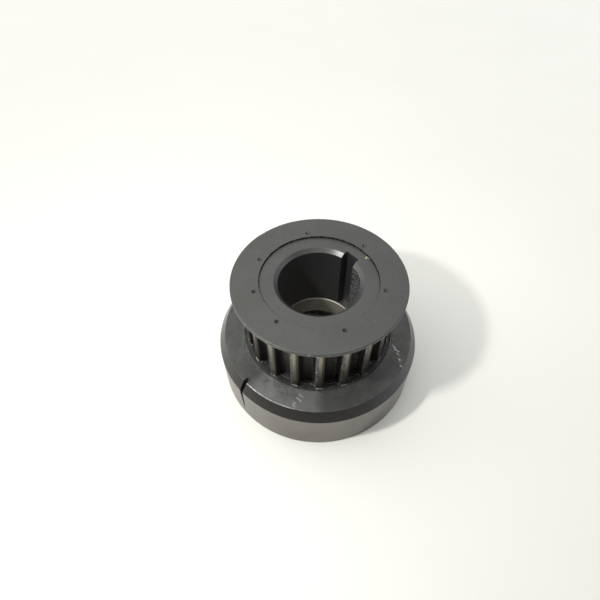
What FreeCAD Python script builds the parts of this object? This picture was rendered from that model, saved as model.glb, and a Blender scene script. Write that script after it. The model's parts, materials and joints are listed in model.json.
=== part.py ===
"""Timing belt pulley for the nose of a shaft, in millimetres.

A toothed sleeve stands on a larger base disc and carries a thin belt guide ring on its top end.
Drive pins hold the ring, cap screws from beneath hold the disc, and dowel pins set the angle
between the disc's timing notch and the sleeve's keyway.

Frame: +Z is the axis of rotation, Z = 0 is the underside of the base disc, and the keyway is at +X.
"""
import FreeCAD, Part
import math
import os

import Sketcher

document = FreeCAD.newDocument("timing_belt_pulley")
sheet = document.addObject("Spreadsheet::Sheet", "Sizes")

DRIVING_DIMENSIONS = (
    # Belt teeth
    ("tooth_count", 19),
    ("crest_diameter", 56.2),
    ("gap_depth", 3.45),
    ("gap_opening", 6.1),
    ("gap_flank_angle", 18.0),
    ("gap_root_radius", 1.3),
    ("crest_rounding", 0.7),
    # Sleeve, measured up from its seat on the base disc
    ("sleeve_length", 28.2),
    ("spigot_diameter", 43.3),
    ("spigot_height", 0.7),
    ("bore_diameter", 30.0),
    ("bore_chamfer", 1.4),
    ("keyway_width", 6.0),
    ("keyway_depth", 2.8),
    ("keyway_root_radius", 0.3),
    # Belt guide ring
    ("ring_outer_diameter", 64.0),
    ("ring_inner_diameter", 43.5),
    ("ring_thickness", 1.5),
    ("ring_edge_radius", 0.4),
    # Base disc
    ("base_diameter", 80.0),
    ("base_height", 22.6),
    ("rim_height", 18.5),
    ("bevel_top_diameter", 75.0),
    ("recess_diameter", 58.4),
    ("recess_depth", 0.5),
    ("pilot_bore_diameter", 29.4),
    ("pilot_bore_chamfer", 0.35),
    ("web_thickness", 8.7),
    ("cavity_diameter", 58.0),
    ("cavity_root_radius", 1.5),
    # Timing notch: half-round bottom that leans outwards and runs out on the rim
    ("notch_top_radius", 0.9),
    ("notch_foot_radius", 0.3),
    ("notch_inner_reach", 35.2),
    ("notch_end_height", 3.8),
    ("notch_mouth_reach", 6.0),
    # Drive pins of the guide ring
    ("pin_circle_diameter", 47.6),
    ("pin_diameter", 1.6),
    ("pin_length", 8.0),
    ("pin_sink", 0.1),
    ("punch_diameter", 1.2),
    ("punch_depth", 0.55),
    # Cap screws and split lock washers under the web
    ("screw_count", 6),
    ("screw_circle_diameter", 40.2),
    ("screw_diameter", 5.0),
    ("screw_length", 20.0),
    ("screw_head_diameter", 8.5),
    ("screw_head_height", 5.0),
    ("screw_socket_width", 4.0),
    ("screw_socket_depth", 2.5),
    ("screw_clearance_diameter", 5.5),
    ("tapped_depth", 12.0),
    ("washer_inner_diameter", 5.2),
    ("washer_outer_diameter", 9.2),
    ("washer_thickness", 1.2),
    ("washer_split", 0.9),
    # Dowel pins between disc and sleeve
    ("dowel_diameter", 4.0),
    ("dowel_length", 16.0),
    ("dowel_depth", 8.0),
    # Running gap on the radius of a pin in its hole, and the usual broken edge
    ("fit_gap", 0.02),
    ("edge_break", 0.3),
)

# Teeth that carry a drive pin, counted from the tooth over the keyway
PINNED_TEETH = (0, 3, 6, 8, 10, 13, 16)

# Angles about Z, in degrees from the keyway
FIRST_SCREW_ANGLE = 30
DOWEL_ANGLES = (60, 240)
NOTCH_ANGLE = 180

# How far a cutting sketch runs past the stock it cuts, and the notch's share past each of its ends
OVERRUN = 1.0
NOTCH_OVERRUN = 0.08

# Sketcher's numbers for the origin, the axes, and the two ends of a line or an arc
ORIGIN = -1
HORIZONTAL_AXIS = -1
VERTICAL_AXIS = -2
START = 1
END = 2
CENTRE = 3

for row, (alias, size) in enumerate(DRIVING_DIMENSIONS, start=1):
    sheet.set(f"A{row}", alias.replace("_", " "))
    sheet.set(f"B{row}", str(size))
    sheet.setAlias(f"B{row}", alias)
document.recompute()


def value(expression):
    """Number that an expression on the sheet gives now."""
    return float(sheet.evalExpression(expression))


def new_body(label):
    body = document.addObject("PartDesign::Body", label)
    body.Label = label
    return body


def origin_feature(body, role):
    """One of the body's own origin planes or axes, such as XY_Plane or Z_Axis."""
    return next(feature for feature in body.Origin.OriginFeatures if feature.Role == role)


def new_sketch(body, name, plane="XY_Plane", height="0", turn="0"):
    """Sketch on an origin plane, lifted by height and turned about the plane's normal."""
    sketch = body.newObject("Sketcher::SketchObject", name)
    sketch.AttachmentSupport = [(origin_feature(body, plane), "")]
    sketch.MapMode = "FlatFace"
    lift = FreeCAD.Vector(0, 0, value(height))
    sketch.AttachmentOffset = FreeCAD.Placement(lift, FreeCAD.Rotation(FreeCAD.Vector(0, 0, 1), value(turn)))
    sketch.setExpression(".AttachmentOffset.Base.z", height)
    sketch.setExpression(".AttachmentOffset.Rotation.Angle", turn)
    return sketch


def bind(sketch, kind, expression, *references):
    """Add a driving constraint whose value is an expression on the sheet."""
    number = value(expression)
    if kind == "Angle":
        number = math.radians(number)
    index = sketch.addConstraint(Sketcher.Constraint(kind, *references, number))
    if kind == "Angle":
        expression = f"({expression}) * 1 deg"
    sketch.setExpression(f"Constraints[{index}]", expression)


def place_point(sketch, geometry, point, across, up):
    """Hold a point at (across, up) from the sketch's origin."""
    if across == "0":
        sketch.addConstraint(Sketcher.Constraint("PointOnObject", geometry, point, VERTICAL_AXIS))
    else:
        bind(sketch, "DistanceX", across, ORIGIN, 1, geometry, point)
    if up == "0":
        sketch.addConstraint(Sketcher.Constraint("PointOnObject", geometry, point, HORIZONTAL_AXIS))
    else:
        bind(sketch, "DistanceY", up, ORIGIN, 1, geometry, point)


def draw_polygon(sketch, corners):
    """Closed outline of straight lines through corners given as pairs of expressions."""
    points = [FreeCAD.Vector(value(across), value(up), 0) for across, up in corners]
    lines = []
    for start, end in zip(points, points[1:] + points[:1]):
        lines.append(sketch.addGeometry(Part.LineSegment(start, end)))
    for line, following in zip(lines, lines[1:] + lines[:1]):
        sketch.addConstraint(Sketcher.Constraint("Coincident", line, END, following, START))
    for line, (across, up) in zip(lines, corners):
        place_point(sketch, line, START, across, up)


def draw_circle(sketch, radius, across="0"):
    centre = FreeCAD.Vector(value(across), 0, 0)
    circle = sketch.addGeometry(Part.Circle(centre, FreeCAD.Vector(0, 0, 1), value(radius)))
    if across == "0":
        sketch.addConstraint(Sketcher.Constraint("Coincident", circle, CENTRE, ORIGIN, 1))
    else:
        place_point(sketch, circle, CENTRE, across, "0")
    bind(sketch, "Radius", radius, circle)


def revolve(body, name, corners):
    """Turned piece: a half-section of (radius, height) corners, revolved about the body's Z axis."""
    sketch = new_sketch(body, name + "_section", "XZ_Plane")
    draw_polygon(sketch, corners)
    turned = body.newObject("PartDesign::Revolution", name)
    turned.Profile = sketch
    turned.ReferenceAxis = (sketch, ["V_Axis"])
    turned.Angle = 360
    document.recompute()
    return turned


def require_cut(body, before, name):
    """Stop if the last feature took no material away."""
    if body.Shape.Volume > before - 1e-6:
        raise RuntimeError(f"{name} cuts nothing")


def pocket(body, sketch, name, depth=None, upward=False):
    """Cut a sketch down into the body, or upward, to a depth or right through."""
    document.recompute()
    before = body.Shape.Volume
    cut = body.newObject("PartDesign::Pocket", name)
    cut.Profile = sketch
    cut.Reversed = upward
    if depth is None:
        cut.Type = "ThroughAll"
    else:
        cut.Type = "Length"
        cut.setExpression("Length", depth)
    document.recompute()
    require_cut(body, before, name)
    return cut


def repeat_round(body, feature, name, count):
    """Repeat a feature evenly round the body's Z axis."""
    before = body.Shape.Volume
    pattern = body.newObject("PartDesign::PolarPattern", name)
    pattern.Originals = [feature]
    pattern.Axis = (origin_feature(body, "Z_Axis"), [""])
    pattern.Angle = 360
    pattern.setExpression("Occurrences", count)
    body.Tip = pattern
    document.recompute()
    require_cut(body, before, name)
    return pattern


def circle_edges(body, radius, height):
    """Names of the tip's circular edges of one radius at one height."""
    names = []
    for number, edge in enumerate(body.Tip.Shape.Edges, start=1):
        curve = edge.Curve
        if not isinstance(curve, Part.Circle):
            continue
        if abs(curve.Radius - value(radius)) < 1e-3 and abs(curve.Center.z - value(height)) < 1e-3:
            names.append(f"Edge{number}")
    return names


def upright_edges(body, accept):
    """Names of the tip's edges that run straight up and whose (x, y) accept() takes."""
    names = []
    for number, edge in enumerate(body.Tip.Shape.Edges, start=1):
        if not isinstance(edge.Curve, Part.Line):
            continue
        if abs(edge.Curve.Direction.z) < 0.999:
            continue
        middle = edge.CenterOfMass
        if accept(middle.x, middle.y):
            names.append(f"Edge{number}")
    return names


def fillet(body, name, edges, radius):
    if not edges:
        raise RuntimeError(f"{name} found no edges")
    base = body.Tip
    rounding = body.newObject("PartDesign::Fillet", name)
    rounding.Base = (base, edges)
    rounding.setExpression("Radius", radius)
    body.Tip = rounding
    document.recompute()
    return rounding


def place(body, angle=0, circle="0", height="0"):
    """Put a piece on a circle about Z at an angle, at a height."""
    body.Placement.Rotation = FreeCAD.Rotation(FreeCAD.Vector(0, 0, 1), angle)
    body.setExpression(".Placement.Base.x", f"({circle}) / 2 * cos({angle} deg)")
    body.setExpression(".Placement.Base.y", f"({circle}) / 2 * sin({angle} deg)")
    body.setExpression(".Placement.Base.z", height)


# Heights above the underside that several pieces share
SEAT_HEIGHT = "Sizes.base_height - Sizes.recess_depth"
WEB_UNDERSIDE = f"{SEAT_HEIGHT} - Sizes.web_thickness"
SHOULDER_HEIGHT = f"{SEAT_HEIGHT} + Sizes.sleeve_length"
SPIGOT_TOP = "Sizes.sleeve_length + Sizes.spigot_height"
PITCH_ANGLE = "360 / Sizes.tooth_count"


def make_base_disc():
    """Large disc: bevelled and ground outside, recessed on top, hollow beneath, bored through."""
    body = new_body("base_disc")
    rim = "Sizes.base_diameter / 2"
    bore = "Sizes.pilot_bore_diameter / 2"
    cavity = "Sizes.cavity_diameter / 2"
    revolve(body, "disc_blank", (
        (f"{cavity} + Sizes.edge_break", "0"),
        (f"{rim} - Sizes.edge_break", "0"),
        (rim, "Sizes.edge_break"),
        (rim, "Sizes.rim_height"),
        ("Sizes.bevel_top_diameter / 2", "Sizes.base_height"),
        ("Sizes.recess_diameter / 2", "Sizes.base_height"),
        ("Sizes.recess_diameter / 2", SEAT_HEIGHT),
        (f"{bore} + Sizes.pilot_bore_chamfer", SEAT_HEIGHT),
        (bore, f"{SEAT_HEIGHT} - Sizes.pilot_bore_chamfer"),
        (bore, f"{WEB_UNDERSIDE} + Sizes.pilot_bore_chamfer"),
        (f"{bore} + Sizes.pilot_bore_chamfer", WEB_UNDERSIDE),
        (cavity, WEB_UNDERSIDE),
        (cavity, "Sizes.edge_break"),
    ))
    cut_timing_notch(body)

    sketch = new_sketch(body, "screw_hole_sketch", turn=str(FIRST_SCREW_ANGLE))
    draw_circle(sketch, "Sizes.screw_clearance_diameter / 2", "Sizes.screw_circle_diameter / 2")
    hole = pocket(body, sketch, "screw_hole", upward=True)
    repeat_round(body, hole, "screw_holes", "Sizes.screw_count")
    for number, angle in enumerate(DOWEL_ANGLES, start=1):
        sketch = new_sketch(body, f"dowel_hole_{number}_sketch", turn=str(angle))
        draw_circle(sketch, "Sizes.dowel_diameter / 2 + Sizes.fit_gap", "Sizes.screw_circle_diameter / 2")
        pocket(body, sketch, f"dowel_hole_{number}", upward=True)

    edges = circle_edges(body, "Sizes.bevel_top_diameter / 2", "Sizes.base_height")
    edges += circle_edges(body, rim, "Sizes.rim_height")
    edges += circle_edges(body, "Sizes.recess_diameter / 2", "Sizes.base_height")
    fillet(body, "broken_edges", edges, "Sizes.edge_break")
    fillet(body, "cavity_root", circle_edges(body, cavity, WEB_UNDERSIDE), "Sizes.cavity_root_radius")
    return body


def subtract(body, kind, name, frame, sizes):
    """Cut a PartDesign primitive away; its sizes are bound and its frame is given on the XY plane."""
    document.recompute()
    before = body.Shape.Volume
    tool = body.newObject(f"PartDesign::Subtractive{kind}", name)
    for size, expression in sizes.items():
        setattr(tool, size, value(expression))
        tool.setExpression(size, expression)
    tool.AttachmentSupport = [(origin_feature(body, "XY_Plane"), "")]
    tool.MapMode = "FlatFace"
    tool.AttachmentOffset = frame
    document.recompute()
    require_cut(body, before, name)


def cut_timing_notch(body):
    """Notch with a half-round bottom: deep at the top face, it leans out, narrows and ends on the rim."""
    rise = "(Sizes.base_height - Sizes.notch_end_height)"
    foot_reach = "(Sizes.base_diameter / 2 + Sizes.notch_foot_radius)"
    top_reach = "(Sizes.notch_inner_reach + Sizes.notch_top_radius)"
    length = f"sqrt({rise} ^ 2 + ({foot_reach} - {top_reach}) ^ 2)"
    spread = "(Sizes.notch_top_radius - Sizes.notch_foot_radius)"
    foot_radius = f"(Sizes.notch_foot_radius - {spread} * {NOTCH_OVERRUN})"
    top_radius = f"(Sizes.notch_top_radius + {spread} * {NOTCH_OVERRUN})"
    lean = math.degrees(math.atan2(value(f"{foot_reach} - {top_reach}"), value(rise)))

    foot = FreeCAD.Vector(value(foot_reach), 0, value("Sizes.notch_end_height"))
    frame = FreeCAD.Placement(FreeCAD.Vector(), FreeCAD.Rotation(FreeCAD.Vector(0, 0, 1), NOTCH_ANGLE))
    frame = frame * FreeCAD.Placement(foot, FreeCAD.Rotation(FreeCAD.Vector(0, 1, 0), -lean))
    start = FreeCAD.Vector(0, 0, -value(length) * NOTCH_OVERRUN)
    frame = frame * FreeCAD.Placement(start, FreeCAD.Rotation())
    full_length = f"{length} * {1 + 2 * NOTCH_OVERRUN}"
    subtract(body, "Cone", "notch_bottom", frame, {
        "Radius1": foot_radius,
        "Radius2": top_radius,
        "Height": full_length,
    })
    upright = FreeCAD.Placement(FreeCAD.Vector(), FreeCAD.Rotation(FreeCAD.Vector(1, 0, 0), 90))
    subtract(body, "Wedge", "notch_mouth", frame * upright, {
        "Xmin": "0",
        "X2min": "0",
        "Xmax": "Sizes.notch_mouth_reach",
        "X2max": "Sizes.notch_mouth_reach",
        "Ymin": "0",
        "Ymax": full_length,
        "Zmin": f"-{foot_radius}",
        "Zmax": foot_radius,
        "Z2min": f"-{top_radius}",
        "Z2max": top_radius,
    })


def draw_tooth_gap(sketch):
    """Space between two teeth, opening along the sketch's +X: straight flanks, rounded root corners."""
    root = value("Sizes.crest_diameter / 2 - Sizes.gap_depth")
    mouth = value("Sizes.crest_diameter / 2") + OVERRUN
    lean = math.radians(value("Sizes.gap_flank_angle"))
    half_mouth = value("Sizes.gap_opening / 2") + OVERRUN * math.tan(lean)
    corner = value("Sizes.gap_root_radius")
    centre_x = root + corner
    centre_y = half_mouth - (mouth - centre_x) * math.tan(lean) - corner / math.cos(lean)
    normal = FreeCAD.Vector(0, 0, 1)

    def root_arc(side, first, last):
        centre = FreeCAD.Vector(centre_x, side * centre_y, 0)
        return sketch.addGeometry(Part.ArcOfCircle(Part.Circle(centre, normal, corner), first, last))

    def flank(side):
        foot_x = centre_x - corner * math.sin(lean)
        foot_y = centre_y + corner * math.cos(lean)
        foot = FreeCAD.Vector(foot_x, side * foot_y, 0)
        return sketch.addGeometry(Part.LineSegment(foot, FreeCAD.Vector(mouth, side * half_mouth, 0)))

    upper_arc = root_arc(1, math.pi / 2 + lean, math.pi)
    lower_arc = root_arc(-1, math.pi, 3 * math.pi / 2 - lean)
    upper_flank = flank(1)
    lower_flank = flank(-1)
    floor = sketch.addGeometry(Part.LineSegment(
        FreeCAD.Vector(root, centre_y, 0), FreeCAD.Vector(root, -centre_y, 0)))
    opening = sketch.addGeometry(Part.LineSegment(
        FreeCAD.Vector(mouth, -half_mouth, 0), FreeCAD.Vector(mouth, half_mouth, 0)))
    for line, line_end, arc, arc_end in (
        (upper_flank, START, upper_arc, START),
        (floor, START, upper_arc, END),
        (floor, END, lower_arc, START),
        (lower_flank, START, lower_arc, END),
    ):
        sketch.addConstraint(Sketcher.Constraint("Tangent", line, line_end, arc, arc_end))
    sketch.addConstraint(Sketcher.Constraint("Coincident", lower_flank, END, opening, START))
    sketch.addConstraint(Sketcher.Constraint("Coincident", opening, END, upper_flank, END))
    sketch.addConstraint(Sketcher.Constraint("Symmetric", opening, START, opening, END, HORIZONTAL_AXIS))
    sketch.addConstraint(Sketcher.Constraint("Symmetric", floor, START, floor, END, HORIZONTAL_AXIS))
    bind(sketch, "Radius", "Sizes.gap_root_radius", upper_arc)
    bind(sketch, "DistanceX", "Sizes.crest_diameter / 2 - Sizes.gap_depth", ORIGIN, 1, floor, START)
    bind(sketch, "DistanceX", f"Sizes.crest_diameter / 2 + {OVERRUN}", ORIGIN, 1, opening, START)
    half_opening = f"Sizes.gap_opening / 2 + {OVERRUN} * tan(Sizes.gap_flank_angle * 1 deg)"
    bind(sketch, "DistanceY", f"2 * ({half_opening})", opening, START, opening, END)
    bind(sketch, "Angle", "Sizes.gap_flank_angle", upper_flank)
    bind(sketch, "Angle", "-Sizes.gap_flank_angle", lower_flank)


def make_toothed_sleeve():
    """Belt sleeve: turned blank, cut teeth, keyway, and blind holes for pins, screws and dowels."""
    body = new_body("toothed_sleeve")
    bore = "Sizes.bore_diameter / 2"
    crest = "Sizes.crest_diameter / 2"
    spigot = "Sizes.spigot_diameter / 2"
    revolve(body, "sleeve_blank", (
        (f"{bore} + Sizes.edge_break", "0"),
        (crest, "0"),
        (crest, "Sizes.sleeve_length"),
        (spigot, "Sizes.sleeve_length"),
        (spigot, SPIGOT_TOP),
        (f"{bore} + Sizes.bore_chamfer", SPIGOT_TOP),
        (bore, f"{SPIGOT_TOP} - Sizes.bore_chamfer"),
        (bore, "Sizes.edge_break"),
    ))

    sketch = new_sketch(body, "tooth_gap_sketch", turn=f"{PITCH_ANGLE} / 2")
    draw_tooth_gap(sketch)
    gap = pocket(body, sketch, "tooth_gap", upward=True)
    repeat_round(body, gap, "tooth_gaps", "Sizes.tooth_count")
    crest_radius = value(crest)
    crests = upright_edges(body, lambda x, y: abs(math.hypot(x, y) - crest_radius) < 1e-2)
    fillet(body, "rounded_crests", crests, "Sizes.crest_rounding")

    half_width = "Sizes.keyway_width / 2"
    floor = f"{bore} + Sizes.keyway_depth"
    sketch = new_sketch(body, "keyway_sketch")
    draw_polygon(sketch, (
        (f"{bore} / 2", f"-{half_width}"),
        (floor, f"-{half_width}"),
        (floor, half_width),
        (f"{bore} / 2", half_width),
    ))
    pocket(body, sketch, "keyway", upward=True)
    floor_reach = value(floor)
    roots = upright_edges(body, lambda x, y: abs(x - floor_reach) < 1e-2 and abs(y) < value(half_width) + 1e-2)
    fillet(body, "keyway_roots", roots, "Sizes.keyway_root_radius")

    sketch = new_sketch(body, "tapped_hole_sketch", turn=str(FIRST_SCREW_ANGLE))
    draw_circle(sketch, "Sizes.screw_diameter / 2 + Sizes.fit_gap", "Sizes.screw_circle_diameter / 2")
    hole = pocket(body, sketch, "tapped_hole", "Sizes.tapped_depth", upward=True)
    repeat_round(body, hole, "tapped_holes", "Sizes.screw_count")
    for number, angle in enumerate(DOWEL_ANGLES, start=1):
        sketch = new_sketch(body, f"dowel_seat_{number}_sketch", turn=str(angle))
        draw_circle(sketch, "Sizes.dowel_diameter / 2 + Sizes.fit_gap", "Sizes.screw_circle_diameter / 2")
        pocket(body, sketch, f"dowel_seat_{number}", "Sizes.dowel_depth + Sizes.edge_break", upward=True)
    pin_depth = "Sizes.pin_length + Sizes.pin_sink - Sizes.ring_thickness + Sizes.edge_break"
    cut_pin_holes(body, "Sizes.sleeve_length", pin_depth)
    place(body, height=SEAT_HEIGHT)
    return body


def cut_pin_holes(body, top, depth):
    """One hole on each pinned tooth, down from the height top."""
    for number, tooth in enumerate(PINNED_TEETH, start=1):
        sketch = new_sketch(body, f"pin_hole_{number}_sketch", height=top, turn=f"{tooth} * {PITCH_ANGLE}")
        draw_circle(sketch, "Sizes.pin_diameter / 2 + Sizes.fit_gap", "Sizes.pin_circle_diameter / 2")
        pocket(body, sketch, f"pin_hole_{number}", depth)


def make_flange_ring():
    """Thin flat guide ring that overhangs the teeth and sits round the sleeve's spigot."""
    body = new_body("flange_ring")
    outer = "Sizes.ring_outer_diameter / 2"
    inner = "Sizes.ring_inner_diameter / 2"
    revolve(body, "ring_blank", (
        (inner, "0"),
        (outer, "0"),
        (outer, "Sizes.ring_thickness"),
        (inner, "Sizes.ring_thickness"),
    ))
    edges = circle_edges(body, outer, "0") + circle_edges(body, outer, "Sizes.ring_thickness")
    fillet(body, "rounded_edge", edges, "Sizes.ring_edge_radius")
    cut_pin_holes(body, "Sizes.ring_thickness", "Sizes.ring_thickness")
    place(body, height=SHOULDER_HEIGHT)
    return body


def make_flange_pin(number, tooth):
    """Drive pin through the ring into a tooth, its head marked by a centre punch."""
    body = new_body(f"flange_pin_{number}")
    radius = "Sizes.pin_diameter / 2"
    revolve(body, f"pin_{number}_blank", (
        ("0", "0"),
        (f"{radius} - Sizes.edge_break", "0"),
        (radius, "Sizes.edge_break"),
        (radius, "Sizes.pin_length"),
        ("Sizes.punch_diameter / 2", "Sizes.pin_length"),
        ("0", "Sizes.pin_length - Sizes.punch_depth"),
    ))
    foot = f"{SHOULDER_HEIGHT} + Sizes.ring_thickness - Sizes.pin_sink - Sizes.pin_length"
    place(body, tooth * value(PITCH_ANGLE), "Sizes.pin_circle_diameter", foot)
    return body


def make_clamp_screw(number, angle):
    """Socket head cap screw, head down in the cavity."""
    body = new_body(f"clamp_screw_{number}")
    head = "Sizes.screw_head_diameter / 2"
    shank = "Sizes.screw_diameter / 2"
    tip = "Sizes.screw_head_height + Sizes.screw_length"
    revolve(body, f"screw_{number}_blank", (
        ("0", "0"),
        (f"{head} - Sizes.edge_break", "0"),
        (head, "Sizes.edge_break"),
        (head, "Sizes.screw_head_height"),
        (shank, "Sizes.screw_head_height"),
        (shank, f"{tip} - Sizes.edge_break"),
        (f"{shank} - Sizes.edge_break", tip),
        ("0", tip),
    ))
    sketch = new_sketch(body, f"screw_{number}_socket_sketch")
    corner_reach = "Sizes.screw_socket_width / sqrt(3)"
    draw_polygon(sketch, tuple(
        (f"{corner_reach} * cos({60 * corner + 30} deg)", f"{corner_reach} * sin({60 * corner + 30} deg)")
        for corner in range(6)
    ))
    pocket(body, sketch, f"screw_{number}_socket", "Sizes.screw_socket_depth", upward=True)
    height = f"{WEB_UNDERSIDE} - Sizes.washer_thickness - Sizes.screw_head_height"
    place(body, angle, "Sizes.screw_circle_diameter", height)
    return body


def make_lock_washer(number, angle):
    """Split spring washer, shown tightened flat between screw head and web."""
    body = new_body(f"lock_washer_{number}")
    inner = "Sizes.washer_inner_diameter / 2"
    outer = "Sizes.washer_outer_diameter / 2"
    revolve(body, f"washer_{number}_blank", (
        (inner, "0"),
        (outer, "0"),
        (outer, "Sizes.washer_thickness"),
        (inner, "Sizes.washer_thickness"),
    ))
    sketch = new_sketch(body, f"washer_{number}_split_sketch")
    half_split = "Sizes.washer_split / 2"
    draw_polygon(sketch, (
        (f"{inner} - {OVERRUN}", f"-{half_split}"),
        (f"{outer} + {OVERRUN}", f"-{half_split}"),
        (f"{outer} + {OVERRUN}", half_split),
        (f"{inner} - {OVERRUN}", half_split),
    ))
    pocket(body, sketch, f"washer_{number}_split", upward=True)
    place(body, angle, "Sizes.screw_circle_diameter", f"{WEB_UNDERSIDE} - Sizes.washer_thickness")
    return body


def make_dowel_pin(number, angle):
    """Straight dowel with chamfered ends, half in the disc and half in the sleeve."""
    body = new_body(f"dowel_pin_{number}")
    radius = "Sizes.dowel_diameter / 2"
    revolve(body, f"dowel_{number}_blank", (
        ("0", "0"),
        (f"{radius} - Sizes.edge_break", "0"),
        (radius, "Sizes.edge_break"),
        (radius, "Sizes.dowel_length - Sizes.edge_break"),
        (f"{radius} - Sizes.edge_break", "Sizes.dowel_length"),
        ("0", "Sizes.dowel_length"),
    ))
    height = f"{SEAT_HEIGHT} + Sizes.dowel_depth - Sizes.dowel_length"
    place(body, angle, "Sizes.screw_circle_diameter", height)
    return body


pieces = [make_base_disc(), make_toothed_sleeve(), make_flange_ring()]
for number, tooth in enumerate(PINNED_TEETH, start=1):
    pieces.append(make_flange_pin(number, tooth))
screw_count = round(value("Sizes.screw_count"))
for number in range(1, screw_count + 1):
    screw_angle = FIRST_SCREW_ANGLE + (number - 1) * 360 / screw_count
    pieces.append(make_clamp_screw(number, screw_angle))
    pieces.append(make_lock_washer(number, screw_angle))
for number, angle in enumerate(DOWEL_ANGLES, start=1):
    pieces.append(make_dowel_pin(number, angle))
document.recompute()

for item in document.Objects:
    if "Invalid" in item.State or "Error" in item.State:
        raise RuntimeError(f"{item.Label} failed: {item.State}")
for piece in pieces:
    if piece.Shape.isNull() or not piece.Shape.isValid() or len(piece.Shape.Solids) != 1:
        raise RuntimeError(f"{piece.Label} is not one sound solid")

os.makedirs("parts", exist_ok=True)
for piece in pieces:
    piece.Shape.exportStep(f"parts/{piece.Label}.step")
    print(f"{piece.Label}: {piece.Shape.Volume:.1f} mm3")
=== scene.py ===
"""Looks of the timing belt pulley: blackened and bare steel on a pale floor in soft studio light."""

import json
import math
import random

import bmesh
import bpy
from mathutils import Matrix, Vector


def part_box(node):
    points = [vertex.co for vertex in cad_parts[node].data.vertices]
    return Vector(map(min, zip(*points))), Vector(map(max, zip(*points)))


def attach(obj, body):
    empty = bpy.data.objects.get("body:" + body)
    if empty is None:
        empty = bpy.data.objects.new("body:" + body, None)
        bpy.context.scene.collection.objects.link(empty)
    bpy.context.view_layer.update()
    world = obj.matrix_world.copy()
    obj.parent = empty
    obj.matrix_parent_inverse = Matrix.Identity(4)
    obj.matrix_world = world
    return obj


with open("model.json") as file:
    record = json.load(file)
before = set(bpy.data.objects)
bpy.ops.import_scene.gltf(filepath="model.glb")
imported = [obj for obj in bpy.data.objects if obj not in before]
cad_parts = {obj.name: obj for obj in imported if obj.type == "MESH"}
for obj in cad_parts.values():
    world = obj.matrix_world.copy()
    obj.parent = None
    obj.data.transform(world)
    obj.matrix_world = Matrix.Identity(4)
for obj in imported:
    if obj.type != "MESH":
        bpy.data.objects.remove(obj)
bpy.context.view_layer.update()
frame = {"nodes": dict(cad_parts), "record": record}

MM = 0.001
PER_METRE_IN_MM = 1000.0


def top_of(node):
    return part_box(node)[1].z / MM


def foot_of(node):
    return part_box(node)[0].z / MM


def radius_of(node):
    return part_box(node)[1].x / MM


# Sizes that the finishes follow, in millimetres, read from the frame
RING_TOP = top_of("flange_ring")
RING_RADIUS = radius_of("flange_ring")
DISC_RADIUS = radius_of("base_disc")
DISC_TOP = top_of("base_disc")
SLEEVE_FOOT = foot_of("toothed_sleeve")
SLEEVE_TOP = top_of("toothed_sleeve")
CREST_RADIUS = radius_of("toothed_sleeve")
BORE_RADIUS = frame["record"]["mounts"][0]["dims"]["r_mm"]
PILOT_RADIUS = frame["record"]["mounts"][1]["dims"]["r_mm"]

# Further sizes of the model, in millimetres
TOOTH_COUNT = 19
BEVEL_RISE = 4.1
BEVEL_TOP_RADIUS = 37.5
BORE_CHAMFER = 1.4
KEYWAY_DEPTH = 2.8
RING_BORE_RADIUS = 21.75
RECESS_RADIUS = 29.2
RIM_TOP = DISC_TOP - BEVEL_RISE

# Camera: angles about +Z from +X and above the horizon, in degrees
CAMERA_AZIMUTH = -135.75
CAMERA_ELEVATION = 48.79
CAMERA_DISTANCE = 5.042 * RING_RADIUS * MM
LOOK_AZIMUTH = 47.99
LOOK_ELEVATION = -51.54
CAMERA_ROLL = -0.885
CAMERA_LENS = 27.06
SENSOR_WIDTH = 36.0


def direction(azimuth, elevation):
    """Unit vector towards an azimuth and an elevation in degrees."""
    flat = math.cos(math.radians(elevation))
    return Vector((
        flat * math.cos(math.radians(azimuth)),
        flat * math.sin(math.radians(azimuth)),
        math.sin(math.radians(elevation)),
    ))


def on_circle(radius, azimuth, height=0.0):
    """Point at a radius, an azimuth in degrees and a height, all in millimetres."""
    return Vector((
        radius * math.cos(math.radians(azimuth)),
        radius * math.sin(math.radians(azimuth)),
        height,
    ))


# ---------------------------------------------------------------- shader building


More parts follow.
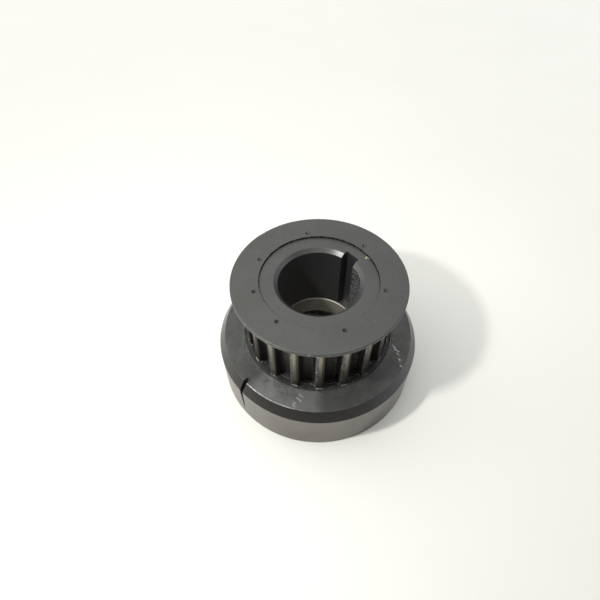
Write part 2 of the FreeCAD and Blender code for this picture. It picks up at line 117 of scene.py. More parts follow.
class Shader:
    """One material's node tree, with short calls for the nodes used here."""

    def __init__(self, name):
        self.material = bpy.data.materials.new(name)
        self.material.use_nodes = True
        self.tree = self.material.node_tree
        self.surface = self.tree.nodes["Principled BSDF"]
        coordinates = self.add("TexCoord").outputs["Object"]
        self.place = self.vector("SCALE", coordinates, scale=PER_METRE_IN_MM)
        split = self.add("SeparateXYZ", {"Vector": self.place})
        self.x, self.y, self.height = split.outputs
        across = self.math("MULTIPLY", self.x, self.x)
        along = self.math("MULTIPLY", self.y, self.y)
        self.radius = self.math("SQRT", self.math("ADD", across, along))
        self.angle = self.math("ARCTAN2", self.y, self.x)

    def feed(self, socket, value):
        if isinstance(value, bpy.types.NodeSocket):
            self.tree.links.new(value, socket)
        else:
            socket.default_value = value

    def add(self, kind, inputs=None, **settings):
        node = self.tree.nodes.new("ShaderNode" + kind)
        for name, setting in settings.items():
            setattr(node, name, setting)
        for name, value in (inputs or {}).items():
            self.feed(node.inputs[name], value)
        return node

    def math(self, operation, first, second=0.0):
        node = self.add("Math", operation=operation)
        self.feed(node.inputs[0], first)
        self.feed(node.inputs[1], second)
        return node.outputs[0]

    def times(self, first, *others):
        for other in others:
            first = self.math("MULTIPLY", first, other)
        return first

    def plus(self, first, *others):
        for other in others:
            first = self.math("ADD", first, other)
        return first

    def most(self, first, *others):
        for other in others:
            first = self.math("MAXIMUM", first, other)
        return first

    def vector(self, operation, first, second=(0, 0, 0), scale=1.0, output=0):
        node = self.add("VectorMath", operation=operation)
        self.feed(node.inputs[0], first)
        self.feed(node.inputs[1], second)
        self.feed(node.inputs[3], scale)
        return node.outputs[output]

    def join(self, x, y=0.0, z=0.0):
        return self.add("CombineXYZ", {"X": x, "Y": y, "Z": z}).outputs[0]

    def noise(self, scale, detail=2.0, roughness=0.5, place=None, distortion=0.0):
        """Noise from 0 to 1, scale in features per millimetre."""
        inputs = {
            "Vector": place or self.place,
            "Scale": scale,
            "Detail": detail,
            "Roughness": roughness,
            "Distortion": distortion,
        }
        return self.add("TexNoise", inputs).outputs[0]

    def between(self, value, low, high, start=0.0, end=1.0):
        """start below low, end above high, and smooth between."""
        node = self.add("MapRange", interpolation_type="SMOOTHSTEP")
        for index, number in enumerate((value, low, high, start, end)):
            self.feed(node.inputs[index], number)
        return node.outputs[0]

    def band(self, value, low, high, soft):
        """1 from low to high, falling to 0 over soft outside."""
        rise = self.between(value, low - soft, low)
        fall = self.between(value, high, high + soft, 1.0, 0.0)
        return self.times(rise, fall)

    def mix(self, factor, first, second):
        node = self.add("Mix", data_type="RGBA")
        self.feed(node.inputs[0], factor)
        self.feed(node.inputs[6], first)
        self.feed(node.inputs[7], second)
        return node.outputs[2]

    def blend(self, factor, first, second):
        """Number that goes from first to second as factor goes from 0 to 1."""
        node = self.add("Mix", data_type="FLOAT")
        self.feed(node.inputs[0], factor)
        self.feed(node.inputs[2], first)
        self.feed(node.inputs[3], second)
        return node.outputs[0]

    def stroke(self, start, end, width):
        """1 on the line from start to end, 0 beyond width from it; seen along Z."""
        across = end - start
        flat = self.join(self.x, self.y)
        offset = self.vector("SUBTRACT", flat, start)
        along = self.vector("DOT_PRODUCT", offset, across / across.length_squared, output=1)
        along = self.math("MINIMUM", self.math("MAXIMUM", along, 0.0), 1.0)
        nearest = self.vector("SCALE", across, scale=along)
        distance = self.vector("LENGTH", self.vector("SUBTRACT", offset, nearest), output=1)
        return self.between(distance, width * 0.3, width, 1.0, 0.0)

    def strokes(self, lines, width):
        """Several strokes; each line is a pair of points."""
        return self.most(*(self.stroke(start, end, width) for start, end in lines))

    def turning(self, scale, detail=3.0):
        """Fine circles round the axis, as a lathe leaves them on a flat face."""
        return self.noise(1.0, detail, 0.65, self.join(self.times(self.radius, scale)))

    def hoops(self, scale, detail=3.0):
        """Fine lines round a cylinder, broken up a little along their way."""
        place = self.join(self.times(self.angle, 2.0), 0.0, self.times(self.height, scale))
        return self.noise(1.0, detail, 0.65, place)

    def uprights(self, scale, rise=0.06):
        """Streaks that run up and down a cylinder."""
        arc = self.times(self.angle, CREST_RADIUS * scale)
        return self.noise(1.0, 4.0, 0.65, self.join(arc, 0.0, self.times(self.height, rise)))

    def bump(self, height, depth, strength=1.0):
        """Bump whose full height stands depth millimetres proud."""
        inputs = {"Height": height, "Distance": depth * MM, "Strength": strength}
        self.feed(self.surface.inputs["Normal"], self.add("Bump", inputs).outputs[0])

    def set(self, **inputs):
        for name, value in inputs.items():
            self.feed(self.surface.inputs[name.replace("_", " ")], value)


def tint(level, red=1.0, green=1.0, blue=1.0):
    return (level * red, level * green, level * blue, 1.0)


# ---------------------------------------------------------------- finishes

OXIDE_METAL = 0.55
OXIDE_LEVEL = 0.092
RELIEF_DEPTH = 0.006


def oxide_colour(shader, level, cloud):
    """Black oxide: soft clouds between a greenish and a bluish black."""
    clouds = shader.noise(0.07, 4.0, 0.6)
    mottle = shader.noise(0.55, 3.0, 0.6)
    tone = shader.plus(shader.times(clouds, 0.65), shader.times(mottle, 0.35))
    spread = shader.between(tone, 0.32, 0.68)
    dark = tint(level * (1 - cloud), 0.985, 1.0, 0.93)
    light = tint(level * (1 + cloud), 0.975, 1.0, 0.96)
    return shader.mix(spread, dark, light)


def oxide_grain(shader):
    """Fine crystalline grain under the oxide."""
    return shader.noise(6.0, 3.0, 0.7)


def oxide_roughness(shader, grain):
    """Satin sheen of the oxide, varied by its grain."""
    return shader.between(grain, 0.3, 0.7, 0.40, 0.50)


def ring_finish():
    """Guide ring: very even satin black, a few pale specks, a worn outer edge, painted shade in the joint.
    """
    shader = Shader("black_oxide_ring")
    colour = oxide_colour(shader, OXIDE_LEVEL, 0.07)
    grain = oxide_grain(shader)
    turning = shader.turning(5.0)
    specks = shader.between(shader.noise(1.1, 1.0, 0.3), 0.79, 0.82)
    edge = shader.between(shader.radius, RING_RADIUS - 0.25, RING_RADIUS - 0.05)
    edge = shader.times(edge, shader.between(shader.noise(0.6, 3.0, 0.6), 0.58, 0.66))
    colour = shader.mix(shader.times(specks, 0.6), colour, tint(0.4))
    colour = shader.mix(shader.times(edge, 0.7), colour, tint(0.34, 1.0, 0.99, 0.95))
    # Painted shade: near black in the joint against the hub, where the ring's inner wall lies in shade.
    ragged = shader.plus(shader.radius, shader.times(shader.noise(0.8, 3.0, 0.7), -0.6))
    joint_shade = shader.between(ragged, RING_BORE_RADIUS - 0.33, RING_BORE_RADIUS - 0.25, 1.0, 0.0)
    colour = shader.mix(joint_shade, colour, tint(0.012))
    shader.set(
        Base_Color=colour,
        Metallic=OXIDE_METAL,
        Roughness=oxide_roughness(shader, grain),
    )
    shader.bump(shader.plus(grain, shader.times(turning, 0.5)), RELIEF_DEPTH)
    return shader.material


def crest_colour(shader, across_tooth, streaks, fine_streaks):
    """Crests rubbed by the belt: bright down the middle; one side pitted, painted lighter grey as lit and
    with painted glints; the other side brown, painted darker as shade.
    """
    wander = shader.times(shader.noise(0.25, 2.0, 0.5), 0.06)
    across_streak = shader.plus(across_tooth, wander, -0.03)
    streak = shader.band(across_streak, -0.04, 0.05, 0.035)
    pitted_lit_side = shader.between(across_streak, -0.08, -0.03, 1.0, 0.0)
    foot = shader.between(shader.height, SLEEVE_FOOT + 3.0, SLEEVE_FOOT + 20.0, 1.0, 0.0)
    worn = shader.mix(fine_streaks, tint(0.17, 1.1, 1.0, 0.76), tint(0.42, 1.07, 1.0, 0.78))
    brown = shader.mix(fine_streaks, tint(0.05, 1.3, 1.0, 0.70), tint(0.15, 1.22, 1.0, 0.72))
    # Painted light and shade: the pitted side of each crest is painted lighter grey as if lit, the other
    # side darker brown as if shaded.
    shaded_brown_side = shader.mix(streaks, tint(0.04, 1.15, 1.0, 0.80), tint(0.12, 1.12, 1.0, 0.82))
    lit_grey_side = shader.mix(streaks, tint(0.10, 1.05, 1.0, 0.9), tint(0.22, 1.0, 1.0, 0.95))
    side = shader.mix(pitted_lit_side, shaded_brown_side, lit_grey_side)
    middle = shader.mix(shader.times(foot, 0.85), worn, brown)
    crest = shader.mix(streak, side, middle)
    pits = shader.between(shader.noise(1.9, 3.0, 0.7), 0.50, 0.60)
    crest = shader.mix(shader.times(pits, pitted_lit_side, 0.8), crest, tint(0.02))
    # Painted glints: bright specks on the pitted, lit side.
    painted_glints = shader.between(shader.noise(1.6, 2.0, 0.6), 0.60, 0.66)
    return shader.mix(shader.times(painted_glints, pitted_lit_side), crest, tint(0.75, 0.96, 1.0, 1.04))


def bore_colour(shader):
    """Bore: drawn streaks, pale grain with painted glints beside the keyway, a breath of rust low down."""
    bore = shader.mix(shader.uprights(1.6, 0.03), tint(0.03), tint(0.10, 1.0, 1.0, 1.02))
    rust = shader.between(shader.height, SLEEVE_FOOT + 4.0, SLEEVE_FOOT + 14.0, 1.0, 0.0)
    rust = shader.times(rust, shader.between(shader.noise(0.12, 3.0, 0.6), 0.4, 0.7))
    bore = shader.mix(shader.times(rust, 0.7), bore, tint(0.05, 1.4, 0.95, 0.7))
    # Painted glints: grain beside the keyway is painted pale as sparkle.
    grit = shader.between(shader.noise(1.7, 3.0, 0.7), 0.50, 0.60)
    grain_and_glints_beside_key = shader.times(grit, shader.band(shader.angle, -1.3, -0.2, 0.15))
    return shader.mix(grain_and_glints_beside_key, bore, tint(0.5, 0.98, 1.0, 1.03))


def sleeve_finish():
    """Sleeve: satin nose, polished belt crests with painted light and shade on their sides, gaps painted
    near black as shade with painted glints on one flank, dark streaked bore with painted glints beside the
    keyway.
    """
    shader = Shader("black_oxide_sleeve")
    colour = oxide_colour(shader, OXIDE_LEVEL, 0.08)
    grain = oxide_grain(shader)
    turning = shader.turning(4.0)
    streaks = shader.uprights(0.9)
    fine_streaks = shader.uprights(3.2, 0.15)

    # Painted shade: the gaps between the teeth are painted near black, streaked
    below_top = shader.between(shader.height, SLEEVE_TOP - 1.2, SLEEVE_TOP - 0.6, 1.0, 0.0)
    outside = shader.between(shader.radius, CREST_RADIUS - 5.0, CREST_RADIUS - 4.0)
    outside = shader.times(outside, below_top)
    gap = shader.mix(streaks, tint(0.013, 1.1, 1.0, 0.95), tint(0.045, 1.2, 1.0, 0.85))
    colour = shader.mix(outside, colour, gap)

    # Crests, counted in teeth from the middle of the nearest one
    turns = shader.times(shader.angle, TOOTH_COUNT / math.tau)
    across_tooth = shader.math("SUBTRACT", turns, shader.math("ROUND", turns))
    rubbed = shader.between(shader.radius, CREST_RADIUS - 0.6, CREST_RADIUS - 0.1)
    rubbed = shader.times(rubbed, below_top)
    colour = shader.mix(rubbed, colour, crest_colour(shader, across_tooth, streaks, fine_streaks))

    # Painted glints: pale flecks on the flanks of the pitted side, where light falls
    flank = shader.times(shader.band(across_tooth, -0.34, -0.12, 0.02), outside)
    flank_glints = shader.between(shader.noise(1.7, 3.0, 0.7), 0.60, 0.66)
    colour = shader.mix(shader.times(flank, flank_glints, 0.8), colour, tint(0.45, 0.97, 1.0, 1.03))

    chamfer_foot = SLEEVE_TOP - BORE_CHAMFER
    below_chamfer = shader.between(shader.height, chamfer_foot, chamfer_foot + 0.1, 1.0, 0.0)
    in_bore = shader.between(shader.radius, BORE_RADIUS + 3.4, BORE_RADIUS + 3.5, 1.0, 0.0)
    colour = shader.mix(shader.times(in_bore, below_chamfer), colour, bore_colour(shader))

    # The chamfer is turned smoother than the faces
    chamfer_edge = BORE_RADIUS + BORE_CHAMFER
    chamfer = shader.times(
        shader.between(shader.radius, chamfer_edge, chamfer_edge + 0.1, 1.0, 0.0),
        shader.between(shader.height, chamfer_foot, chamfer_foot + 0.1),
    )
    roughness = shader.blend(chamfer, oxide_roughness(shader, grain), 0.32)
    shader.set(
        Base_Color=colour,
        Metallic=shader.blend(rubbed, OXIDE_METAL, 0.9),
        Roughness=shader.blend(rubbed, roughness, 0.36),
    )
    relief = shader.plus(grain, shader.times(turning, 0.6), shader.times(fine_streaks, outside, 2.0))
    shader.bump(relief, RELIEF_DEPTH)
    return shader.material


# Scratches through the disc's oxide, in millimetres and degrees; a row is its inner and its outer azimuth
SCRATCH_ROWS = ((-146, -149), (-60, -74))
ROW_START = RECESS_RADIUS + 1.5
ROW_END = BEVEL_TOP_RADIUS - 1.0
DEEP_IN_ROW = 5
FAINT_IN_ROW = 5
SCRATCH_LENGTH = 2.2
SCRATCH_HEADING = -88
HEADING_SPREAD = 8
SCRATCH_SEED = 5
DEEP_WIDTH = 0.27
FAINT_WIDTH = 0.20
# Azimuths between which the disc's upper edge is worn bright, with a painted highlight, in degrees
WORN_HIGHLIT_EDGE_FROM = -180
WORN_HIGHLIT_EDGE_TO = -145


def draw_scratches(draw, count):
    """Rows of short, nearly parallel scratches from the recess out to the bevel, as pairs of points."""
    lines = []
    for inner_azimuth, outer_azimuth in SCRATCH_ROWS:
        for number in range(count):
            share = (number + draw.random()) / count
            radius = ROW_START + (ROW_END - ROW_START) * share
            start = on_circle(radius, inner_azimuth + (outer_azimuth - inner_azimuth) * share)
            heading = SCRATCH_HEADING + draw.uniform(-HEADING_SPREAD, HEADING_SPREAD)
            lines.append((start, start + on_circle(SCRATCH_LENGTH * draw.uniform(0.2, 1.0), heading)))
    return lines


def scratch_mask(shader, on_top):
    """1 where a deep scratch shows, less on the faint ones."""
    draw = random.Random(SCRATCH_SEED)
    ragged = shader.between(shader.noise(2.6, 2.0, 0.6), 0.32, 0.46)
    deep = shader.strokes(draw_scratches(draw, DEEP_IN_ROW), DEEP_WIDTH)
    faint = shader.strokes(draw_scratches(draw, FAINT_IN_ROW), FAINT_WIDTH)
    deep = shader.times(deep, ragged, on_top)
    faint = shader.times(faint, ragged, on_top)
    return shader.most(shader.times(deep, 0.85), shader.times(faint, 0.4))


def grime_and_shade_mask(shader):
    """Grime with painted shade in the recess round the teeth, darkest against them; grime where it spills
    over, and smeared on the top face.
    """
    above_seat = shader.between(shader.height, SLEEVE_FOOT - 0.3, SLEEVE_FOOT - 0.1)
    recess = shader.band(shader.radius, CREST_RADIUS - 6.0, RECESS_RADIUS + 0.05, 0.05)
    # Painted shade with grime: darkest against the teeth and between them, lighter further out.
    recess_grime_and_shade = shader.between(shader.radius, CREST_RADIUS - 0.6, CREST_RADIUS + 0.6, 1.0, 0.45)
    recess_grime_and_shade = shader.times(recess_grime_and_shade, recess)
    recess_grime_and_shade = shader.times(recess_grime_and_shade, shader.between(shader.noise(0.4, 3.0, 0.6), 0.3, 0.6, 0.6, 1.0))
    spill = shader.between(shader.radius, RECESS_RADIUS, RECESS_RADIUS + 1.2, 1.0, 0.0)
    spill = shader.times(spill, shader.between(shader.noise(0.5, 3.0, 0.6), 0.50, 0.65), 0.6)
    smear = shader.band(shader.radius, RECESS_RADIUS + 1.0, RECESS_RADIUS + 3.5, 1.5)
    smear = shader.times(smear, shader.band(shader.angle, -2.95, -2.65, 0.12))
    smear = shader.times(smear, shader.between(shader.noise(0.35, 4.0, 0.6), 0.38, 0.66), 0.5)
    return shader.times(shader.most(shader.times(recess_grime_and_shade, 0.85), spill, smear), above_seat)


def worn_highlit_edge_mask(shader, on_top):
    """Stretch of the disc's upper edge that is worn bright, with a painted highlight on the side towards
    the key light.
    """
    worn_highlit_from = math.radians(WORN_HIGHLIT_EDGE_FROM)
    worn_highlit_to = math.radians(WORN_HIGHLIT_EDGE_TO)
    edge = shader.band(shader.radius, BEVEL_TOP_RADIUS - 0.10, BEVEL_TOP_RADIUS + 0.02, 0.10)
    stretch = shader.between(shader.angle, worn_highlit_from, worn_highlit_from + 0.02)
    stretch = shader.times(stretch, shader.between(shader.angle, worn_highlit_to, worn_highlit_to + 0.1, 1.0, 0.0))
    rubbed = shader.between(shader.noise(0.35, 3.0, 0.6), 0.40, 0.60)
    return shader.times(edge, on_top, stretch, rubbed)


def ground_steel(shader):
    """Stained bare steel of the rim and the underside."""
    stains = shader.between(shader.noise(0.045, 3.0, 0.5), 0.3, 0.7)
    return shader.mix(stains, tint(0.128, 1.05, 1.0, 0.90), tint(0.176, 1.05, 1.0, 0.91))


def bored_steel(shader, hoops):
    """Warm bare steel of the lower bore, with a painted shadow darkening one side."""
    warm_steel = shader.mix(hoops, tint(0.28, 1.08, 1.0, 0.84), tint(0.48, 1.06, 1.0, 0.86))
    # Painted shadow: the side of the lower bore that the light does not reach is darkened.
    shadowed_side = shader.between(shader.angle, 0.7, 1.5)
    return shader.mix(shader.times(shadowed_side, 0.7), warm_steel, tint(0.13, 1.15, 1.0, 0.80))


def disc_finish():
    """Base disc: cloudy oxide on top, black bevel, bare ground rim, underside and lower bore."""
    shader = Shader("disc_steel")
    colour = oxide_colour(shader, 0.085, 0.16)
    grain = oxide_grain(shader)
    turning = shader.turning(4.0)
    hoops = shader.hoops(9.0)

    # Scuffed patches, with one stretch of the top face painted lighter as lit, sandy grain near the teeth
    # and a painted highlight along the recess lip
    on_top = shader.between(shader.height, DISC_TOP - 0.4, DISC_TOP - 0.1)
    scuffs = shader.noise(0.16, 5.0, 0.7, distortion=0.6)
    scuffed = shader.between(scuffs, 0.50, 0.70)
    # Scuffs with painted light: the stretch of the top face towards the key light is painted lighter.
    scuffed_and_lit_side = shader.band(shader.angle, -3.0, -2.40, 0.15)
    scuffed_and_lit_side = shader.times(scuffed_and_lit_side, shader.between(scuffs, 0.30, 0.55, 0.6, 1.0))
    patch = shader.times(shader.most(shader.times(scuffed, 0.22), scuffed_and_lit_side), on_top)
    colour = shader.mix(shader.times(patch, 0.9), colour, tint(0.20, 0.99, 1.0, 0.98))
    sand = shader.between(shader.noise(1.8, 3.0, 0.7), 0.52, 0.62)
    near_teeth = shader.between(shader.radius, RECESS_RADIUS + 0.5, RECESS_RADIUS + 3.5, 1.0, 0.0)
    colour = shader.mix(shader.times(sand, near_teeth, on_top, 0.35), colour, tint(0.30))
    # Painted highlight: a pale line along the lip of the recess.
    lip_highlight = shader.band(shader.radius, RECESS_RADIUS + 0.02, RECESS_RADIUS + 0.12, 0.08)
    lip_highlight = shader.times(lip_highlight, on_top, shader.between(shader.noise(0.7, 3.0, 0.6), 0.42, 0.62))
    colour = shader.mix(shader.times(lip_highlight, 0.45), colour, tint(0.40))

    # Grime with painted shade in the recess, and the bare seat under the keyway
    colour = shader.mix(grime_and_shade_mask(shader), colour, tint(0.022, 1.05, 1.0, 0.95))
    keyway_floor = BORE_RADIUS + KEYWAY_DEPTH
    seat = shader.between(shader.radius, keyway_floor, keyway_floor + 0.5, 1.0, 0.0)
    seat = shader.times(seat, shader.between(shader.height, SLEEVE_FOOT - 0.2, SLEEVE_FOOT - 0.1))
    colour = shader.mix(seat, colour, tint(0.30, 0.98, 0.98, 1.05))

    # Bare metal: rim, underside, lower bore with its painted shadow, scratches, worn edge with its painted
    # highlight
    rim = shader.between(shader.height, RIM_TOP - 0.12, RIM_TOP + 0.02, 1.0, 0.0)
    rim = shader.times(rim, shader.between(shader.radius, DISC_RADIUS - 1.0, DISC_RADIUS - 0.8))
    underside = shader.between(shader.height, 0.4, 0.6, 1.0, 0.0)
    lower_bore = shader.between(shader.radius, PILOT_RADIUS + 0.45, PILOT_RADIUS + 0.55, 1.0, 0.0)
    scratches = scratch_mask(shader, on_top)
    bright = shader.most(scratches, shader.times(worn_highlit_edge_mask(shader, on_top), 0.7))
    colour = shader.mix(shader.most(rim, underside), colour, ground_steel(shader))
    colour = shader.mix(lower_bore, colour, bored_steel(shader, hoops))
    colour = shader.mix(bright, colour, tint(0.62, 1.0, 1.0, 0.97))

    # The bevel is turned smoother than the top, dark, bluish over one stretch
    bevel = shader.times(
        shader.between(shader.radius, BEVEL_TOP_RADIUS + 0.05, BEVEL_TOP_RADIUS + 0.15),
        shader.between(shader.height, RIM_TOP - 0.02, RIM_TOP + 0.1),
    )
    bluish_stretch = shader.band(shader.angle, -1.60, -1.05, 0.25)
    dark_bevel = shader.mix(bluish_stretch, tint(0.050, 1.06, 1.0, 0.96), tint(0.064, 0.92, 0.97, 1.12))
    colour = shader.mix(bevel, colour, dark_bevel)

    bare = shader.most(rim, underside, lower_bore, seat, scratches)
    grinding = shader.blend(rim, shader.turning(6.0), hoops)
    rough_oxide = shader.between(grain, 0.3, 0.7, 0.38, 0.48)
    rough_oxide = shader.blend(bevel, rough_oxide, 0.24)
    rough_steel = shader.between(grinding, 0.3, 0.7, 0.26, 0.40)
    shader.set(
        Base_Color=colour,
        Metallic=shader.blend(lower_bore, shader.blend(bare, OXIDE_METAL, 0.9), 0.5),
        Roughness=shader.blend(lower_bore, shader.blend(bare, rough_oxide, rough_steel), 0.45),
    )
    relief = shader.plus(grain, shader.times(turning, 0.5), shader.times(sand, near_teeth))
    relief = shader.blend(bare, relief, shader.times(grinding, 2.0))
    relief = shader.plus(relief, shader.times(scratches, -4.0))
    shader.bump(relief, RELIEF_DEPTH)
    return shader.material


def pin_finish():
    """Drive pins: as the ring, with the dimple where they were punched painted darker as shade."""
    shader = Shader("black_oxide_pin")
    grain = oxide_grain(shader)
    # Painted shade: the punched dimple is painted near black.
    dimple_shade = shader.between(shader.height, RING_TOP - 0.12, RING_TOP - 0.04, 1.0, 0.0)
    shader.set(
        Base_Color=shader.mix(dimple_shade, oxide_colour(shader, OXIDE_LEVEL, 0.07), tint(0.03)),
        Metallic=OXIDE_METAL,
        Roughness=shader.blend(dimple_shade, oxide_roughness(shader, grain), 0.30),
    )
    shader.bump(grain, RELIEF_DEPTH)
    return shader.material


def fastener_finish(name, level, metal, roughness):
    """Small turned or drawn steel part."""
    shader = Shader(name)
    mottle = shader.noise(0.9, 3.0, 0.6)
    grain = oxide_grain(shader)
    hoops = shader.hoops(7.0)
    spread = shader.between(mottle, 0.3, 0.7)
    dark = tint(level * 0.8, 1.02, 1.0, 0.97)
    light = tint(level * 1.2, 1.0, 1.0, 0.98)
    shader.set(
        Base_Color=shader.mix(spread, dark, light),
        Metallic=metal,
        Roughness=shader.between(grain, 0.3, 0.7, roughness - 0.05, roughness + 0.08),
    )
    shader.bump(shader.plus(grain, hoops), RELIEF_DEPTH)
    return shader.material


def swarf_finish(name, dull, bright):
    """Torn metal: bright where it was cut, dull elsewhere."""
    shader = Shader(name)
    torn = shader.between(shader.noise(4.0, 3.0, 0.7), 0.35, 0.65)
    shader.set(
        Base_Color=shader.mix(torn, dull, bright),
        Metallic=0.6,
        Roughness=shader.between(torn, 0.0, 1.0, 0.42, 0.22),
    )
    shader.bump(torn, 0.01)
    return shader.material


def floor_paint():
    shader = Shader("pale_floor")
    soft = shader.noise(0.012, 3.0, 0.5)
    shader.set(
        Base_Color=shader.mix(soft, tint(0.88, 1.01, 1.0, 0.94), tint(0.92, 1.01, 1.0, 0.955)),
        Roughness=shader.between(soft, 0.3, 0.7, 0.42, 0.55),
    )
    return shader.material


def dress(node, material):
    """Give a CAD node its finish."""
    for material_slot in frame["nodes"][node].material_slots:
        material_slot.material = material


FINISHES = {
    "base_disc": disc_finish(),
    "toothed_sleeve": sleeve_finish(),
    "flange_ring": ring_finish(),
    "flange_pin": pin_finish(),
    "clamp_screw": fastener_finish("black_oxide_screw", 0.05, OXIDE_METAL, 0.36),
    "lock_washer": fastener_finish("spring_steel", 0.30, 0.95, 0.32),
    "dowel_pin": fastener_finish("ground_dowel_steel", 0.45, 1.0, 0.24),
}
for node in frame["nodes"]:
    family = node.rstrip("0123456789").rstrip("_")
    dress(node, FINISHES[family])


# ---------------------------------------------------------------- burrs and chips left by cutting

# Burrs, in millimetres; lengths and breaks are counted in steps along the outline
BURR_STEP = 0.22
BURR_REACH = 1.8
BURR_SIDES = 5
BURR_THINNEST = 0.06
BURR_THICKEST = 0.13
SHORTEST_BURR = 6
LONGEST_BURR = 22
LONGEST_BREAK = 4
GAP_BURR = 0.5
TEETH_REACH = 4.0
FOOT_TOLERANCE = 0.01
BURR_SEED = 19

# Chips, in millimetres and degrees
CHIP_CORNERS = 9
MOST_CHIPS_IN_GAP = 3
GAP_CHIP_SPREAD = 4
CHIPS_FROM = CREST_RADIUS - 1.7
CHIPS_TO = CREST_RADIUS + 0.6
SMALLEST_CHIP = 0.22
LARGEST_CHIP = 0.36
STEEL_SEED = 7
BRASS_AZIMUTH = -12
BRASS_SPREAD = 2
BRASS_SIZES = (0.85, 0.55, 0.35)
BRASS_SEED = 11


def foot_outline():
    """Toothed outline round the sleeve's foot in millimetres, evenly divided, gaps cut off at a circle."""
    corners = []
    for vertex in frame["nodes"]["toothed_sleeve"].data.vertices:
        point = vertex.co / MM
        outside = math.hypot(point.x, point.y) > CREST_RADIUS - TEETH_REACH
        if outside and point.z < SLEEVE_FOOT + FOOT_TOLERANCE:
            corners.append(point)
    corners.sort(key=lambda point: math.atan2(point.y, point.x))
    outline = []
    for first, second in zip(corners, corners[1:] + corners[:1]):
        span = (second - first).length
        count = round(span / BURR_STEP)
        outline.extend(first.lerp(second, part / count) for part in range(count))
    nearest = CREST_RADIUS - BURR_REACH
    for point in outline:
        radius = math.hypot(point.x, point.y)
        stretch = max(1.0, nearest / radius)
        point.x *= stretch
        point.y *= stretch
    return outline


def add_burr(shape, path, thickness, draw):
    """One strip of raised metal along path, closed and pointed at both ends."""
    rings = []
    for before, here, after in zip(path, path[1:], path[2:]):
        outwards = (after - before).cross(Vector((0, 0, 1))).normalized()
        in_gap = math.hypot(here.x, here.y) < CREST_RADIUS - BURR_REACH + 0.1
        reach = thickness * draw.uniform(0.6, 1.3) * (GAP_BURR if in_gap else 1.0)
        middle = here + outwards * reach * 0.6 + Vector((0, 0, reach * 0.4))
        ring = []
        for side in range(BURR_SIDES):
            turn = math.tau * side / BURR_SIDES
            offset = outwards * math.cos(turn) + Vector((0, 0, math.sin(turn)))
            ring.append(shape.verts.new((middle + offset * reach) * MM))
        rings.append(ring)
    ends = [shape.verts.new(point * MM) for point in (path[0], path[-1])]
    for side in range(BURR_SIDES):
        following = (side + 1) % BURR_SIDES
        for ring, further in zip(rings, rings[1:]):
            shape.faces.new((ring[side], ring[following], further[following], further[side]))
        shape.faces.new((ends[0], rings[0][following], rings[0][side]))
        shape.faces.new((ends[1], rings[-1][side], rings[-1][following]))


def add_chip(shape, place, size, draw):
    """One jagged chip that reaches no further than size sideways: the hull of a few drawn points."""
    corners = []
    for _ in range(CHIP_CORNERS):
        offset = on_circle(draw.uniform(0.3, 1.0), draw.uniform(-180, 180), draw.uniform(-0.1, 0.8))
        corners.append(shape.verts.new((place + offset * size) * MM))
    bmesh.ops.convex_hull(shape, input=corners)
    loose = [corner for corner in corners if not corner.link_faces]
    bmesh.ops.delete(shape, geom=loose, context="VERTS")


def finish_piece(shape, name, material, smooth=False):
    """Turn a bmesh into a piece that rides on the frame."""
    bmesh.ops.recalc_face_normals(shape, faces=shape.faces)
    mesh = bpy.data.meshes.new(name)
    shape.to_mesh(mesh)
    shape.free()
    for polygon in mesh.polygons:
        polygon.use_smooth = smooth
    mesh.materials.append(material)
    piece = bpy.data.objects.new(name, mesh)
    bpy.context.collection.objects.link(piece)
    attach(piece, "root")
    return piece


def make_foot_burrs(material):
    """Broken line of burrs where the teeth meet the disc."""
    draw = random.Random(BURR_SEED)
    outline = foot_outline()
    shape = bmesh.new()
    start = 0
    while start < len(outline) - LONGEST_BURR - 2:
        length = draw.randint(SHORTEST_BURR, LONGEST_BURR)
        thickness = draw.uniform(BURR_THINNEST, BURR_THICKEST)
        add_burr(shape, outline[start:start + length], thickness, draw)
        start += length + draw.randint(0, LONGEST_BREAK)
    finish_piece(shape, "foot_burrs", material, smooth=True)


def make_steel_chips(material):
    """Bright chips that lie between the teeth and in the recess before them."""
    draw = random.Random(STEEL_SEED)
    shape = bmesh.new()
    for gap in range(TOOTH_COUNT):
        middle = (gap + 0.5) * 360 / TOOTH_COUNT
        for _ in range(draw.randint(0, MOST_CHIPS_IN_GAP)):
            radius = draw.uniform(CHIPS_FROM, CHIPS_TO)
            azimuth = middle + draw.uniform(-GAP_CHIP_SPREAD, GAP_CHIP_SPREAD)
            size = draw.uniform(SMALLEST_CHIP, LARGEST_CHIP)
            add_chip(shape, on_circle(radius, azimuth, SLEEVE_FOOT), size, draw)
    finish_piece(shape, "steel_chips", material)


def make_brass_chips(material):
    """Brass chips lodged on the hub's face against the ring's inner edge."""
    draw = random.Random(BRASS_SEED)
    shape = bmesh.new()
    for size in BRASS_SIZES:
        azimuth = BRASS_AZIMUTH + draw.uniform(-BRASS_SPREAD, BRASS_SPREAD)
        add_chip(shape, on_circle(RING_BORE_RADIUS - size, azimuth, SLEEVE_TOP), size, draw)
    finish_piece(shape, "brass_chips", material)


bare_swarf = swarf_finish("bare_steel_swarf", tint(0.30), tint(0.90, 1.0, 1.0, 0.97))
brass_swarf = swarf_finish("brass_swarf", tint(0.40, 1.2, 1.0, 0.55), tint(0.85, 1.1, 1.0, 0.72))
make_foot_burrs(bare_swarf)
make_steel_chips(bare_swarf)
make_brass_chips(brass_swarf)


# ---------------------------------------------------------------- floor, lights and camera

FLOOR_SIZE = 4.0
WORLD_LEVEL = 1.08

# Key light: degrees to the left of the camera and above the floor, metres and watts
KEY_AZIMUTH = 56.6
KEY_ELEVATION = 56.5
KEY_DISTANCE = 0.25
KEY_SIZE = 0.017
KEY_POWER = 0.33
KEY_COLOUR = (1.0, 0.99, 0.97)

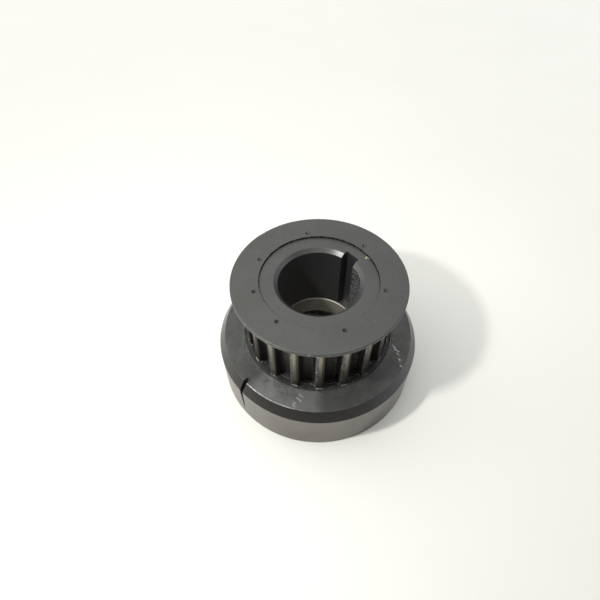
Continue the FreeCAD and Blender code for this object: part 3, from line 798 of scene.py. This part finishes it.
# Dark flag: from and to, in degrees to the left of the camera, and its size in metres
FLAG_FROM = -75
FLAG_TO = 82
FLAG_STEPS = 24
FLAG_DISTANCE = 0.36
FLAG_HEIGHT = 0.36


def left_of_camera(azimuth):
    """Azimuth about +Z of a direction given as degrees to the left of the camera."""
    return CAMERA_AZIMUTH - azimuth


def make_floor():
    bpy.ops.mesh.primitive_plane_add(size=FLOOR_SIZE, location=(0, 0, 0))
    floor = bpy.context.object
    floor.name = "floor"
    floor.data.materials.append(floor_paint())


def make_key_light():
    """Small square softbox that faces the middle of the part's foot."""
    lamp = bpy.data.lights.new("key", "AREA")
    lamp.size = KEY_SIZE
    lamp.energy = KEY_POWER
    lamp.color = KEY_COLOUR
    light = bpy.data.objects.new("key", lamp)
    bpy.context.collection.objects.link(light)
    towards = direction(left_of_camera(KEY_AZIMUTH), KEY_ELEVATION)
    light.location = towards * KEY_DISTANCE
    light.rotation_euler = towards.to_track_quat("Z", "Y").to_euler()


def make_flag():
    """Dark curved studio flag before the part: keeps glare off the faces that look that way."""
    shape = bmesh.new()
    columns = []
    for step in range(FLAG_STEPS + 1):
        turn = FLAG_FROM + (FLAG_TO - FLAG_FROM) * step / FLAG_STEPS
        foot = direction(left_of_camera(turn), 0) * FLAG_DISTANCE
        top = foot + Vector((0, 0, FLAG_HEIGHT))
        columns.append((shape.verts.new(foot), shape.verts.new(top)))
    for (foot, top), (next_foot, next_top) in zip(columns, columns[1:]):
        shape.faces.new((foot, next_foot, next_top, top))
    mesh = bpy.data.meshes.new("flag")
    shape.to_mesh(mesh)
    shape.free()
    shader = Shader("flag_cloth")
    weave = shader.noise(0.8, 2.0, 0.5)
    shader.set(Base_Color=shader.mix(weave, tint(0.02), tint(0.035)), Roughness=0.9)
    mesh.materials.append(shader.material)
    flag = bpy.data.objects.new("flag", mesh)
    bpy.context.collection.objects.link(flag)
    flag.visible_camera = False


def make_world():
    """Pale room, brighter on the left of the camera, dimmer and cooler on its right."""
    world = bpy.data.worlds.new("studio")
    world.use_nodes = True
    tree = world.node_tree
    background = tree.nodes["Background"]
    background.inputs["Strength"].default_value = 1.0
    view = tree.nodes.new("ShaderNodeTexCoord").outputs["Generated"]

    def lobe(azimuth, elevation, near, far):
        """1 towards a direction, 0 where the cosine of the angle to it is under far."""
        dot = tree.nodes.new("ShaderNodeVectorMath")
        dot.operation = "DOT_PRODUCT"
        tree.links.new(view, dot.inputs[0])
        dot.inputs[1].default_value = direction(left_of_camera(azimuth), elevation)
        ramp = tree.nodes.new("ShaderNodeMapRange")
        ramp.interpolation_type = "SMOOTHSTEP"
        ramp.inputs["From Min"].default_value = far
        ramp.inputs["From Max"].default_value = near
        tree.links.new(dot.outputs["Value"], ramp.inputs["Value"])
        return ramp.outputs[0]

    def mix(factor, first, second):
        node = tree.nodes.new("ShaderNodeMix")
        node.data_type = "RGBA"
        tree.links.new(factor, node.inputs[0])
        for socket, value in ((node.inputs[6], first), (node.inputs[7], second)):
            if isinstance(value, bpy.types.NodeSocket):
                tree.links.new(value, socket)
            else:
                socket.default_value = value
        return node.outputs[2]

    room = tint(WORLD_LEVEL, 1.0, 1.0, 0.97)
    dim_side = tint(WORLD_LEVEL * 0.75, 1.0, 1.0, 0.98)
    cool_side = tint(WORLD_LEVEL * 0.7, 0.96, 0.99, 1.05)
    bright_side = tint(WORLD_LEVEL * 1.5)
    colour = mix(lobe(-90, 10, 0.9, 0.1), room, dim_side)
    colour = mix(lobe(-130, 18, 0.93, 0.6), colour, cool_side)
    colour = mix(lobe(85, 15, 0.95, 0.5), colour, bright_side)
    tree.links.new(colour, background.inputs["Color"])
    bpy.context.scene.world = world


def make_camera():
    camera = bpy.data.objects.new("camera", bpy.data.cameras.new("camera"))
    bpy.context.collection.objects.link(camera)
    camera.data.lens = CAMERA_LENS
    camera.data.sensor_width = SENSOR_WIDTH
    camera.data.clip_start = 0.01
    ring_centre = Vector((0, 0, RING_TOP * MM))
    camera.location = ring_centre + direction(CAMERA_AZIMUTH, CAMERA_ELEVATION) * CAMERA_DISTANCE
    look = direction(LOOK_AZIMUTH, LOOK_ELEVATION)
    turn = look.to_track_quat("-Z", "Y").to_matrix()
    camera.rotation_euler = (turn @ Matrix.Rotation(math.radians(CAMERA_ROLL), 3, "Z")).to_euler()
    bpy.context.scene.camera = camera


make_floor()
make_world()
make_key_light()
make_flag()
make_camera()
bpy.context.scene.view_settings.view_transform = "Standard"
